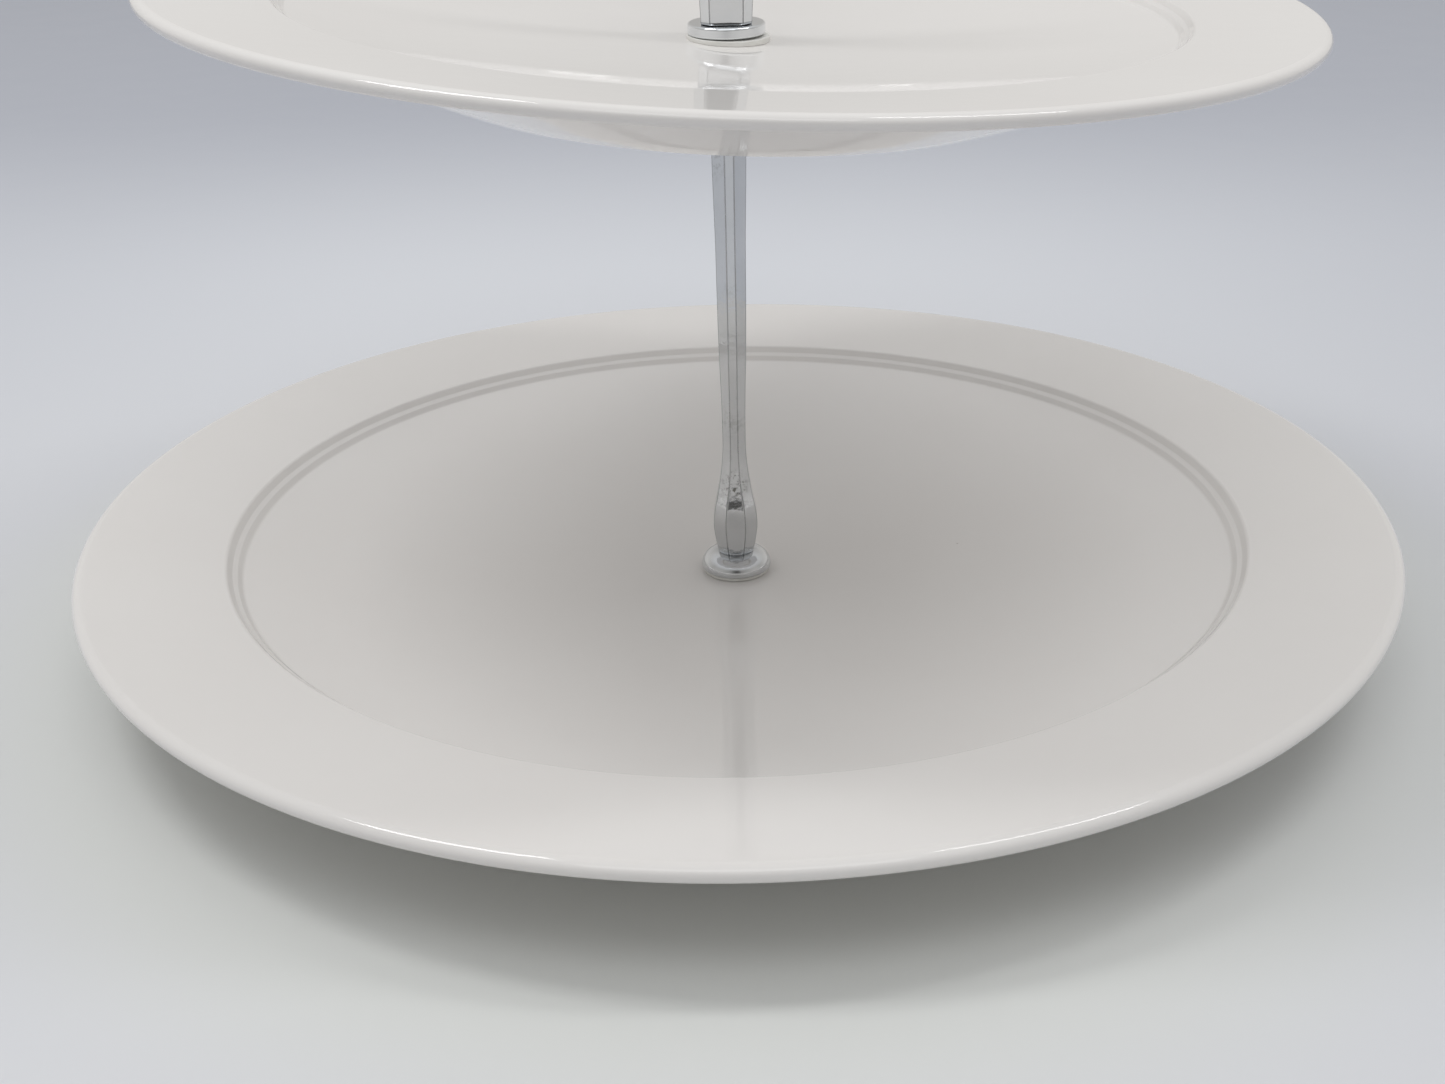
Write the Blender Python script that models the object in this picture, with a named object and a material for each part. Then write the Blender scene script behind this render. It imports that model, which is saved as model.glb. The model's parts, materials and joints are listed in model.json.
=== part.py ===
"""Two-tier cake stand: two glazed porcelain plates on a chromed column that ends in a ring handle.

Metres, +Z up. The origin is the centre of the lower plate's foot ring, on the surface it stands on.
The column's axis is the Z axis. Every piece of the screwed stack is a separate solid.
"""

import math

import bmesh
import bpy
from mathutils import Matrix

# Plates: both have the same form, the upper one at a smaller scale.
LOWER_RADIUS = 0.160
LOWER_HEIGHT = 0.0284
LOWER_FLOOR = 0.0099
UPPER_RADIUS = 0.1298
UPPER_HEIGHT = 0.0230
UPPER_FLOOR = 0.0107
FLOOR_THICKNESS = 0.0049
HOLE_RADIUS = 0.0046
PLATE_SEGMENTS = 64

# Form of a plate, as shares of its radius. Drops are below the rim's crest on a plate of LOWER_RADIUS.
WELL_SHARE = 0.759
WALL_TOP_SHARE = 0.781
FOOT_SHARE = 0.5
FOOT_WIDTH = 0.0032
WELL_DROP = 0.0064
WALL_TOP_DROP = 0.0027
EDGE_ROLL = 0.00195
FLOOR_CURVE = 2.5
FLOOR_STEPS = (0.35, 0.56, 0.74, 0.88, 1.0)
# Underside, outside in: shares of the plate's radius and of its height.
UNDERSIDE = ((0.90, 0.80), (0.82, 0.70), (0.78, 0.61), (0.693, 0.405), (0.60, 0.19), (0.535, 0.05))

# The upper plate sits a little off centre and tipped, right side down, in the slack of its hole
# and washers.
# It rocks about the Y axis through the centre of its floor.
UPPER_TIP = math.radians(3.2)
UPPER_SHIFT = 0.0010
UPPER_FLOOR_Z = 0.1426

# Screwed stack: SEAT_GAP is left between pieces that clamp each other
SEAT_GAP = 0.00015
THREAD_RADIUS = 0.00235
BORE_RADIUS = 0.0025
SOFT_THICKNESS = 0.0008
METAL_THICKNESS = 0.0010
WASHER_BORE = 0.0028
TURNED_SEGMENTS = 24
FLANGE_SEGMENTS = 32

BASE_WASHER_RADIUS = 0.0080
SCREW_HEAD_RADIUS = 0.0050
SCREW_HEAD_HEIGHT = 0.0020
SCREW_TIP_Z = 0.0220
SCREW_SLOT_WIDTH = 0.0012
SCREW_SLOT_DEPTH = 0.0010

FLANGE_RADIUS = 0.00875
FLANGE_EDGE = 0.0010
FLANGE_DOME = 0.0034
ROD_TOP_Z = 0.1347
BOTTOM_BORE_DEPTH = 0.0130
TOP_BORE_DEPTH = 0.0125
STUD_ENGAGEMENT = 0.0115

SEAT_WASHER_RADIUS = 0.0087
SEAT_SOFT_THICKNESS = 0.0010
TOP_SOFT_RADIUS = 0.0094
TOP_SOFT_THICKNESS = 0.00065
DISC_Z = 0.1440
DISC_RADIUS = 0.00885
DISC_THICKNESS = 0.0025
STUD_TOP_Z = 0.1556

# Column sections: height above the section's own foot, width across flats, front facet's share
# of the width
ROD_SECTIONS = (
    (0.0025, 0.0088, 0.44),
    (0.0050, 0.0090, 0.44),
    (0.0085, 0.0101, 0.45),
    (0.0121, 0.0109, 0.45),
    (0.0145, 0.0107, 0.45),
    (0.0170, 0.0100, 0.44),
    (0.0195, 0.0089, 0.42),
    (0.0228, 0.00775, 0.38),
    (0.0268, 0.0066, 0.35),
    (0.0315, 0.0058, 0.34),
    (0.0370, 0.0057, 0.34),
    (0.0470, 0.0060, 0.33),
    (0.0550, 0.0065, 0.32),
    (0.0650, 0.00685, 0.31),
    (0.0860, 0.0073, 0.29),
    (0.1000, 0.0079, 0.28),
)
ROD_TOP_WIDTH = 0.0084
STEM_SECTIONS = (
    (0.0000, 0.0115, 0.65),
    (0.0050, 0.0119, 0.64),
    (0.0100, 0.0120, 0.62),
    (0.0150, 0.0113, 0.58),
    (0.0200, 0.0099, 0.52),
    (0.0260, 0.0082, 0.46),
    (0.0330, 0.0067, 0.42),
    (0.0410, 0.0060, 0.40),
    (0.0500, 0.0062, 0.40),
    (0.0570, 0.0070, 0.42),
    (0.0620, 0.0080, 0.44),
)
COLLAR_RADIUS = 0.0052
COLLAR_HEIGHT = 0.0026
RING_RADIUS = 0.0182
RING_BAR_RADIUS = 0.0027
RING_BOSS_RADIUS = 0.0034
RING_SPIGOT_RADIUS = 0.0018
RING_SPIGOT_LENGTH = 0.0085
RING_SEGMENTS = 36
RING_BAR_SEGMENTS = 10


def clear_scene():
    for existing in list(bpy.data.objects):
        bpy.data.objects.remove(existing, do_unlink=True)


def material(name, colour, roughness, metallic=0.0):
    made = bpy.data.materials.new(name)
    made.use_nodes = True
    shader = made.node_tree.nodes["Principled BSDF"]
    shader.inputs["Base Color"].default_value = (*colour, 1.0)
    shader.inputs["Roughness"].default_value = roughness
    shader.inputs["Metallic"].default_value = metallic
    made.diffuse_color = (*colour, 1.0)
    return made


def glaze():
    return material("white_glaze", (0.80, 0.785, 0.755), 0.12)


def chrome():
    return material("chrome_plate", (0.78, 0.79, 0.80), 0.07, 1.0)


def steel():
    return material("zinc_plated_steel", (0.62, 0.62, 0.60), 0.32, 1.0)


def soft_plastic():
    return material("white_soft_plastic", (0.82, 0.81, 0.78), 0.45)


def finish(name, bm, surface, helper=False):
    """Turns a bmesh into a shaded object; a helper is a cutter or a joining form that isn't a piece."""
    bmesh.ops.remove_doubles(bm, verts=bm.verts, dist=1e-6)
    bmesh.ops.recalc_face_normals(bm, faces=bm.faces)
    mesh = bpy.data.meshes.new(name)
    bm.to_mesh(mesh)
    bm.free()
    mesh.shade_smooth()
    mesh.set_sharp_from_angle(angle=math.radians(32))
    made = bpy.data.objects.new(name, mesh)
    bpy.context.scene.collection.objects.link(made)
    if helper:
        made.hide_render = True
        made.display_type = "WIRE"
    else:
        mesh.materials.append(surface)
    return made


def spun(outline, segments=TURNED_SEGMENTS):
    """A bmesh of the closed outline of (radius, height) points, spun a full turn about the Z axis."""
    bm = bmesh.new()
    corners = [bm.verts.new((radius, 0, height)) for radius, height in outline]
    edges = [bm.edges.new((a, b)) for a, b in zip(corners, corners[1:] + corners[:1])]
    turn = {"cent": (0, 0, 0), "axis": (0, 0, 1), "angle": 2 * math.pi, "steps": segments}
    bmesh.ops.spin(bm, geom=corners + edges, use_merge=True, **turn)
    return bm


def rod_outline(radius, bottom, top, chamfer=0.0):
    """Half section of a plain cylinder on the axis, with chamfered ends."""
    return [
        (0, bottom),
        (radius - chamfer, bottom),
        (radius, bottom + chamfer),
        (radius, top - chamfer),
        (radius - chamfer, top),
        (0, top),
    ]


def washer_outline(bore, radius, bottom, thickness, edge):
    """Section of a washer whose outer edge is eased by the length edge."""
    top = bottom + thickness
    return [
        (bore, bottom),
        (radius - edge, bottom),
        (radius, bottom + edge),
        (radius, top - edge),
        (radius - edge, top),
        (bore, top),
    ]


def plate_outline(radius, height, floor):
    """Section of a plate from its hole over the top, round the rolled edge and back under to the hole."""
    scale = radius / LOWER_RADIUS
    roll = EDGE_ROLL * scale
    well_z = height - WELL_DROP * scale
    well = WELL_SHARE * radius
    points = [(HOLE_RADIUS, floor - 0.0005), (HOLE_RADIUS + 0.0005, floor)]
    for step in FLOOR_STEPS:
        points.append((well * step, floor + (well_z - floor) * step**FLOOR_CURVE))
    points.append((WALL_TOP_SHARE * radius, height - WALL_TOP_DROP * scale))
    for degrees in (90, 45, 0, -45, -90):
        turn = math.radians(degrees)
        points.append((radius - roll + roll * math.cos(turn), height - roll + roll * math.sin(turn)))
    for across, up in UNDERSIDE:
        points.append((across * radius, up * height))
    foot = FOOT_SHARE * radius
    recess = floor - FLOOR_THICKNESS
    points += [
        (foot, 0),
        (foot - FOOT_WIDTH, 0),
        (foot - FOOT_WIDTH - 0.0015, 0.8 * recess),
        (foot - FOOT_WIDTH - 0.006, recess),
        (HOLE_RADIUS, recess),
    ]
    return points


def combine(piece, cutter, operation="DIFFERENCE"):
    modifier = piece.modifiers.new(cutter.name, "BOOLEAN")
    modifier.operation = operation
    modifier.solver = "EXACT"
    modifier.object = cutter


def bore(piece, radius, bottom, top):
    cutter = finish(piece.name + "_bore", spun(rod_outline(radius, bottom, top)), None, helper=True)
    combine(piece, cutter)


def faceted_shaft(sections, foot_z):
    """A bmesh lofted through eight-sided sections: a square with its corners cut at 45 degrees."""
    bm = bmesh.new()
    rings = []
    for height, width, share in sections:
        flat = width / 2
        half = flat * share
        corners = [
            (half, -flat),
            (flat, -half),
            (flat, half),
            (half, flat),
            (-half, flat),
            (-flat, half),
            (-flat, -half),
            (-half, -flat),
        ]
        rings.append([bm.verts.new((x, y, foot_z + height)) for x, y in corners])
    for low, high in zip(rings, rings[1:]):
        for side in range(8):
            after = (side + 1) % 8
            bm.faces.new((low[side], low[after], high[after], high[side]))
    bm.faces.new(rings[0])
    bm.faces.new(rings[-1])
    return bm


def rock(piece):
    """Tips a piece made level, with the upper plate's floor at z = 0, and sets it on the rocking axis."""
    piece.location = (0, 0, UPPER_FLOOR_Z)
    piece.rotation_euler = (0, UPPER_TIP, 0)


def lower_plate():
    outline = plate_outline(LOWER_RADIUS, LOWER_HEIGHT, LOWER_FLOOR)
    finish("lower_plate", spun(outline, segments=PLATE_SEGMENTS), glaze())


def upper_plate():
    outline = plate_outline(UPPER_RADIUS, UPPER_HEIGHT, UPPER_FLOOR)
    made = finish("upper_plate", spun(outline, segments=PLATE_SEGMENTS), glaze())
    made.data.transform(Matrix.Translation((UPPER_SHIFT, 0, -UPPER_FLOOR)))
    rock(made)


def base_fixing():
    """The screw under the lower plate, its captive metal washer and the soft washer against the glaze."""
    underside = LOWER_FLOOR - FLOOR_THICKNESS
    soft_z = underside - SEAT_GAP - SOFT_THICKNESS
    metal_z = soft_z - SEAT_GAP - METAL_THICKNESS
    head_top = metal_z - SEAT_GAP
    head_bottom = head_top - SCREW_HEAD_HEIGHT

    soft = washer_outline(WASHER_BORE, BASE_WASHER_RADIUS, soft_z, SOFT_THICKNESS, 0.0002)
    finish("base_soft_washer", spun(soft), soft_plastic())
    metal = washer_outline(WASHER_BORE, BASE_WASHER_RADIUS, metal_z, METAL_THICKNESS, 0.0002)
    finish("base_metal_washer", spun(metal), steel())

    screw = [
        (0, head_bottom),
        (SCREW_HEAD_RADIUS - 0.0012, head_bottom),
        (SCREW_HEAD_RADIUS - 0.0003, head_bottom + 0.0006),
        (SCREW_HEAD_RADIUS, head_bottom + 0.0012),
        (SCREW_HEAD_RADIUS, head_top),
        (THREAD_RADIUS, head_top),
        (THREAD_RADIUS, SCREW_TIP_Z - 0.0006),
        (THREAD_RADIUS - 0.0006, SCREW_TIP_Z),
        (0, SCREW_TIP_Z),
    ]
    made = finish("base_screw", spun(screw), steel())
    slot = bmesh.new()
    bmesh.ops.create_cube(slot, size=1)
    slot_size = (4 * SCREW_HEAD_RADIUS, SCREW_SLOT_WIDTH, 2 * SCREW_SLOT_DEPTH)
    bmesh.ops.scale(slot, verts=slot.verts, vec=slot_size)
    bmesh.ops.translate(slot, verts=slot.verts, vec=(0, 0, head_bottom))
    combine(made, finish("base_screw_slot", slot, None, helper=True))


def lower_rod():
    """The faceted rod between the tiers, on the domed flange that clamps the lower plate."""
    soft_z = LOWER_FLOOR + SEAT_GAP
    soft = washer_outline(WASHER_BORE, FLANGE_RADIUS - 0.0006, soft_z, SOFT_THICKNESS, 0.0002)
    finish("foot_soft_washer", spun(soft), soft_plastic())

    foot_z = soft_z + SOFT_THICKNESS + SEAT_GAP
    sections = [*ROD_SECTIONS, (ROD_TOP_Z - foot_z, ROD_TOP_WIDTH, ROD_SECTIONS[-1][2])]
    made = finish("lower_rod", faceted_shaft(sections, foot_z), chrome())
    neck = 0.0040
    flange = [(0, foot_z), (FLANGE_RADIUS - 0.0004, foot_z), (FLANGE_RADIUS, foot_z + 0.0004)]
    for step in range(5):
        rise = step / 4
        across = neck + (FLANGE_RADIUS - neck) * math.cos(rise * math.pi / 2)
        flange.append((across, foot_z + FLANGE_EDGE + FLANGE_DOME * math.sin(rise * math.pi / 2)))
    flange.append((0, foot_z + FLANGE_EDGE + FLANGE_DOME))
    dome = spun(flange, segments=FLANGE_SEGMENTS)
    combine(made, finish("lower_rod_flange", dome, None, helper=True), "UNION")
    bore(made, BORE_RADIUS, foot_z - 0.001, foot_z + BOTTOM_BORE_DEPTH)
    bore(made, BORE_RADIUS, ROD_TOP_Z - TOP_BORE_DEPTH, ROD_TOP_Z + 0.001)

    stud = rod_outline(THREAD_RADIUS, ROD_TOP_Z - STUD_ENGAGEMENT, STUD_TOP_Z, 0.0005)
    finish("rod_stud", spun(stud), steel())


def upper_seat():
    """The washers that hold the upper plate: metal and soft below it, and a soft one that lies on it."""
    metal_z = ROD_TOP_Z + SEAT_GAP
    metal = washer_outline(WASHER_BORE, SEAT_WASHER_RADIUS, metal_z, METAL_THICKNESS, 0.0002)
    finish("seat_metal_washer", spun(metal), steel())

    soft_z = metal_z + METAL_THICKNESS + SEAT_GAP
    soft = washer_outline(WASHER_BORE, SEAT_WASHER_RADIUS, soft_z, SEAT_SOFT_THICKNESS, 0.0002)
    finish("seat_soft_washer", spun(soft), soft_plastic())

    top = washer_outline(WASHER_BORE, TOP_SOFT_RADIUS, SEAT_GAP, TOP_SOFT_THICKNESS, 0.0002)
    rock(finish("upper_soft_washer", spun(top), soft_plastic()))


def handle():
    """The swivel disc on the upper plate, the stem screwed onto the stud, the collar and the ring."""
    disc = washer_outline(WASHER_BORE, DISC_RADIUS, DISC_Z, DISC_THICKNESS, 0.0005)
    finish("handle_disc", spun(disc), chrome())

    stem_z = DISC_Z + DISC_THICKNESS + SEAT_GAP
    stem_top = stem_z + STEM_SECTIONS[-1][0]
    stem = finish("handle_stem", faceted_shaft(STEM_SECTIONS, stem_z), chrome())
    bore(stem, BORE_RADIUS, stem_z - 0.001, STUD_TOP_Z + 0.0010)
    bore(stem, RING_SPIGOT_RADIUS + 0.0001, stem_top - RING_SPIGOT_LENGTH, stem_top + 0.001)

    collar_z = stem_top + SEAT_GAP
    collar_top = collar_z + COLLAR_HEIGHT
    collar = [
        (RING_SPIGOT_RADIUS + 0.0001, collar_z),
        (COLLAR_RADIUS - 0.0006, collar_z),
        (COLLAR_RADIUS, collar_z + 0.0007),
        (COLLAR_RADIUS, collar_top - 0.0010),
        (COLLAR_RADIUS - 0.0010, collar_top),
        (RING_SPIGOT_RADIUS + 0.0001, collar_top),
    ]
    finish("handle_collar", spun(collar), chrome())

    boss_z = collar_top + SEAT_GAP
    centre_z = boss_z + 0.0016 + RING_BAR_RADIUS + RING_RADIUS
    bar = []
    for step in range(RING_BAR_SEGMENTS):
        turn = 2 * math.pi * step / RING_BAR_SEGMENTS
        bar.append((RING_RADIUS + RING_BAR_RADIUS * math.cos(turn), RING_BAR_RADIUS * math.sin(turn)))
    ring = spun(bar, segments=RING_SEGMENTS)
    bmesh.ops.rotate(ring, verts=ring.verts, cent=(0, 0, 0), matrix=Matrix.Rotation(math.pi / 2, 3, "X"))
    bmesh.ops.translate(ring, verts=ring.verts, vec=(0, 0, centre_z))
    made = finish("handle_ring", ring, chrome())
    spigot_z = stem_top - RING_SPIGOT_LENGTH + 0.0005
    boss = [
        (0, spigot_z),
        (RING_SPIGOT_RADIUS - 0.0003, spigot_z),
        (RING_SPIGOT_RADIUS, spigot_z + 0.0003),
        (RING_SPIGOT_RADIUS, boss_z),
        (RING_BOSS_RADIUS, boss_z),
        (RING_BOSS_RADIUS - 0.0006, boss_z + 0.0026),
        (0, boss_z + 0.0034),
    ]
    combine(made, finish("handle_ring_boss", spun(boss, segments=24), None, helper=True), "UNION")


clear_scene()
lower_plate()
base_fixing()
lower_rod()
upper_seat()
upper_plate()
handle()
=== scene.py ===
"""Looks of the two-tier cake stand: glazed porcelain plates on a chromed, faceted column.

Metres, +Z up, in the frame's own coordinates. Every CAD node is replaced by a finer piece of the same
size in the same place, which rides on the same body.
"""

import json
import math

import bmesh
import bpy
import numpy as np
from mathutils import Matrix, Vector, noise


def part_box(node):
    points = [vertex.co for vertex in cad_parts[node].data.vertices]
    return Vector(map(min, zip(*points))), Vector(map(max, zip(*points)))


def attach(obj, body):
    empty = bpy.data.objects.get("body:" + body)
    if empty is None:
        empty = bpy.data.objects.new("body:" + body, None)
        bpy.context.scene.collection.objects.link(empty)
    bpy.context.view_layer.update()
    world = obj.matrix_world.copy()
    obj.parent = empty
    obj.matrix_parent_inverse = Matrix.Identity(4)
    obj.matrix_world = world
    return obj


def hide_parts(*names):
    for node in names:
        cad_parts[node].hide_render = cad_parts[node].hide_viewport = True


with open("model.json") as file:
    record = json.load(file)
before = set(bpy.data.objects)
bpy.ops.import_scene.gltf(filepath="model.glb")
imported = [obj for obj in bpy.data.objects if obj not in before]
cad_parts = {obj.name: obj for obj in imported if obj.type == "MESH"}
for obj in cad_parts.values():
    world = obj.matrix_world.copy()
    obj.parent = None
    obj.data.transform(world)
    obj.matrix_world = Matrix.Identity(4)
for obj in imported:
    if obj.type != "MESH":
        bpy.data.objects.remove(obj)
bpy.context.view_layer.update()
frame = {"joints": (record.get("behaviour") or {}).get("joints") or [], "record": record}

BODY_OF = {
    node: body
    for body, nodes in frame["record"]["behaviour"]["bodies"].items()
    for node in nodes
}
JOINTS = {joint["name"]: joint for joint in frame["joints"]}

# Plates: the same form at two scales. Shares are of a plate's radius.
LOWER_RADIUS = (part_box("lower_plate")[1].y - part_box("lower_plate")[0].y) / 2
UPPER_RADIUS = (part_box("upper_plate")[1].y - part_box("upper_plate")[0].y) / 2
LOWER_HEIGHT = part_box("lower_plate")[1].z
UPPER_HEIGHT = 0.0230
LOWER_FLOOR = 0.0099
UPPER_FLOOR = 0.0107
FLOOR_THICKNESS = 0.0049
HOLE_RADIUS = 0.0046
WELL_SHARE = 0.759
WALL_TOP_SHARE = 0.781
FOOT_SHARE = 0.5
FOOT_WIDTH = 0.0032
WELL_DROP = 0.0064
WALL_TOP_DROP = 0.0027
# Rolled edge: its radius, and how many times wider than high its upper half is.
EDGE_ROLL = 0.00195
EDGE_SPREAD = 1.35
# Wall between floor and rim: shares of its width and height, and the radius each corner is turned on.
WALL = ((0.0, 0.0, 0.0014), (0.32, 0.36, 0.0009), (0.64, 0.55, 0.0009), (1.0, 1.0, 0.0012))
# The floor rises from flat to the well's edge by this power of the distance from its middle.
FLOOR_CURVE = 2.5
FLOOR_FROM = 0.07
FLOOR_TO = 0.985
FLOOR_STEPS = 44
UNDERSIDE = ((0.90, 0.80), (0.82, 0.70), (0.78, 0.61), (0.693, 0.405), (0.60, 0.19), (0.535, 0.05))
PLATE_SEGMENTS = 288
WAVE_HEIGHT = 0.00005
WAVE_SCALE = 21

# The upper plate stands tipped in the slack of its washers, and a little off centre.
UPPER_TIP = math.radians(-JOINTS["upper_plate_rock"]["range_deg"][0])
UPPER_PIVOT = Vector(JOINTS["upper_plate_rock"]["pos_m"])
UPPER_SHIFT = 0.0010

# Column sections: height above the foot, width across flats, front facet's share of the width.
ROD_SECTIONS = (
    (0.0050, 0.0090, 0.44),
    (0.0085, 0.0101, 0.45),
    (0.0121, 0.0109, 0.45),
    (0.0145, 0.0107, 0.45),
    (0.0170, 0.0100, 0.44),
    (0.0195, 0.0089, 0.42),
    (0.0228, 0.00775, 0.38),
    (0.0268, 0.0066, 0.35),
    (0.0315, 0.0058, 0.34),
    (0.0370, 0.0057, 0.34),
    (0.0470, 0.0060, 0.33),
    (0.0550, 0.0065, 0.32),
    (0.0650, 0.00685, 0.31),
    (0.0860, 0.0073, 0.29),
    (0.1000, 0.0079, 0.28),
    (0.1237, 0.0084, 0.28),
)
STEM_SECTIONS = (
    (0.0000, 0.0115, 0.65),
    (0.0050, 0.0119, 0.64),
    (0.0100, 0.0120, 0.62),
    (0.0150, 0.0113, 0.58),
    (0.0200, 0.0099, 0.52),
    (0.0260, 0.0082, 0.46),
    (0.0330, 0.0067, 0.42),
    (0.0410, 0.0060, 0.40),
    (0.0500, 0.0062, 0.40),
    (0.0570, 0.0070, 0.42),
    (0.0620, 0.0080, 0.44),
)
# Faces round a column, points along each, and the fine notch at the edge between two of them.
FACETS = 8
FACET_STEPS = 8
NOTCH_REACH = 0.00022
NOTCH_DEPTH = 0.00019
NOTCH_EDGE = 0.00005
NOTCH_POINTS = 9

# The rod's flange: height of its plain edge and of the dome on it, and the rows that blend into facets.
FLANGE_SEAT = 0.0015
FLANGE_EDGE = 0.0007
FLANGE_DOME = 0.0037
NECK_RADIUS = 0.0040
DOME_STEPS = 26
BLEND_ROWS = 3
# The rod's plating is worn in front, just above the bulb: fully inside the core, not beyond the reach.
WORN_PLACE = (0.0, -0.0040, 0.0345)
WORN_CORE = 0.0016
WORN_REACH = 0.0046

THREAD_RADIUS = 0.00235
THREAD_DEPTH = 0.00042
THREAD_PITCH = 0.0008
THREAD_ROWS = 10
STUD_CHAMFER = 0.0005
SCREW_HEAD = 0.0020
SCREW_POINT = 0.0006
# Blind holes in the columns: radius, chamfer, rows they add at an end, and depths at foot and top.
BORE_RADIUS = 0.0025
BORE_CHAMFER = 0.0004
BORE_ROWS = 4
ROD_BORES = (0.0130, 0.0125)
STEM_BORES = (0.0100, 0.0088)
WASHER_BORE = 0.0028
WASHER_SLACK = 0.00035
SLOT_WIDTH = 0.0012
SLOT_DEPTH = 0.0010
RING_RADIUS = 0.0182
RING_BAR_RADIUS = 0.0027
RING_BOSS_RADIUS = 0.0034
RING_SPIGOT_RADIUS = 0.0018

# Studio light: how bright the world is overhead, at its horizon behind, in front, beside the front and at
# the sides, and below. In front it is dark, as where a photographer stands.
TOP_GLOW = 0.755
BACK_GLOW = 0.48
FRONT_GLOW = 0.09
FRONT_SIDES = 0.21
SIDE_GLOW = 0.50
BELOW_GLOW = 0.60
LIGHTS_AIM = (0, 0, 0.08)

# Studio floor: how far it reaches, its colour round the plate with painted bounce light and far off with
# painted shade, and its window's radius.
FLOOR_REACH = 5.0
NEAR_PAINTED_BOUNCE = (0.735, 0.748, 0.732)
FAR_PAINTED_SHADE = (0.49, 0.51, 0.57)
FLOOR_WINDOW = 0.074

# Camera: where it stands, how far it looks down and how it is rolled.
CAMERA_PLACE = (-0.0034, -0.4453, 0.2257)
CAMERA_DOWN = math.radians(25.08)
CAMERA_ROLL = math.radians(-1.25)
CAMERA_LENS = 48.39


# ---------------------------------------------------------------- outlines


def rounded(corners, closed=False, turn_step=math.radians(9)):
    """Outline through (across, up, radius) corners, with each corner turned on an arc of its radius."""
    outline = []
    count = len(corners)
    for index, (across, up, radius) in enumerate(corners):
        here = Vector((across, up))
        at_end = not closed and index in (0, count - 1)
        if radius == 0 or at_end:
            outline.append((across, up))
            continue
        before = (Vector(corners[index - 1][:2]) - here).normalized()
        after = (Vector(corners[(index + 1) % count][:2]) - here).normalized()
        half = before.angle(after) / 2
        sweep = math.pi - 2 * half
        centre = here + (before + after).normalized() * radius / math.sin(half)
        start = here + before * radius / math.tan(half) - centre
        end = here + after * radius / math.tan(half) - centre
        steps = max(2, math.ceil(sweep / turn_step))
        for step in range(steps + 1):
            share = step / steps
            lean = start * math.sin((1 - share) * sweep) + end * math.sin(share * sweep)
            outline.append(tuple(centre + lean / math.sin(sweep)))
    return outline


def curve_through(points, steps):
    """Catmull-Rom curve through the points, with this many steps between two of them."""
    found = []
    padded = [points[0], *points, points[-1]]
    for a, b, c, d in zip(padded, padded[1:], padded[2:], padded[3:]):
        for step in range(steps):
            t = step / steps
            weights = (
                0.5 * (-(t**3) + 2 * t**2 - t),
                0.5 * (3 * t**3 - 5 * t**2 + 2),
                0.5 * (-3 * t**3 + 4 * t**2 + t),
                0.5 * (t**3 - t**2),
            )
            found.append(
                tuple(sum(w * p[axis] for w, p in zip(weights, (a, b, c, d))) for axis in (0, 1))
            )
    found.append(points[-1])
    return found


def fade(value, start, stop):
    """0 at the start and 1 at the stop, and kept between them."""
    return min(1, max(0, (value - start) / (stop - start)))


def section_at(sections, height):
    """Width and facet share of a shaft at a height, on a smooth curve through its sections."""
    heights = [s[0] for s in sections]
    found = []
    for column in (1, 2):
        values = [s[column] for s in sections]
        slopes = np.gradient(values, heights)
        low = min(max(np.searchsorted(heights, height) - 1, 0), len(heights) - 2)
        span = heights[low + 1] - heights[low]
        t = min(max((height - heights[low]) / span, 0), 1)
        found.append(
            values[low] * (2 * t**3 - 3 * t**2 + 1)
            + values[low + 1] * (3 * t**2 - 2 * t**3)
            + slopes[low] * span * (t**3 - 2 * t**2 + t)
            + slopes[low + 1] * span * (t**3 - t**2)
        )
    return found


# ------------------------------------------------------------------ meshes


def skin(name, rows, closed=False):
    """A mesh through rows of points: full rings of one length, and single points where the form ends.
    Closed joins the last row to the first, as in a washer."""
    points = []
    starts = []
    for row in rows:
        starts.append((len(points), len(row)))
        points.extend(tuple(point) for point in row)
    faces = []
    pairs = list(zip(starts, starts[1:]))
    if closed:
        pairs.append((starts[-1], starts[0]))
    for (low, low_count), (high, high_count) in pairs:
        count = max(low_count, high_count)
        for here in range(count):
            after = (here + 1) % count
            if low_count == 1:
                faces.append((low, high + after, high + here))
            elif high_count == 1:
                faces.append((low + here, low + after, high))
            else:
                faces.append((low + here, low + after, high + after, high + here))
    mesh = bpy.data.meshes.new(name)
    mesh.from_pydata(points, [], faces)
    bm = bmesh.new()
    bm.from_mesh(mesh)
    bmesh.ops.recalc_face_normals(bm, faces=bm.faces)
    bm.to_mesh(mesh)
    bm.free()
    made = bpy.data.objects.new(name, mesh)
    bpy.context.scene.collection.objects.link(made)
    return made


def ring_at(radius, height, segments):
    if radius == 0:
        return [(0, 0, height)]
    turns = [2 * math.pi * step / segments for step in range(segments)]
    return [(radius * math.cos(turn), radius * math.sin(turn), height) for turn in turns]


def lathe(name, outline, segments=96):
    """A turned form. An outline that starts and ends on the axis is solid, and any other is a ring."""
    rows = [ring_at(radius, height, segments) for radius, height in outline]
    return skin(name, rows, closed=outline[0][0] > 0)


def thread_between(start, stop):
    """Sections of thread from one height to another, for threaded()."""
    count = round((stop - start) / THREAD_PITCH * THREAD_ROWS)
    return [
        (THREAD_RADIUS, start + (stop - start) * step / count, THREAD_DEPTH)
        for step in range(count + 1)
    ]


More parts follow.
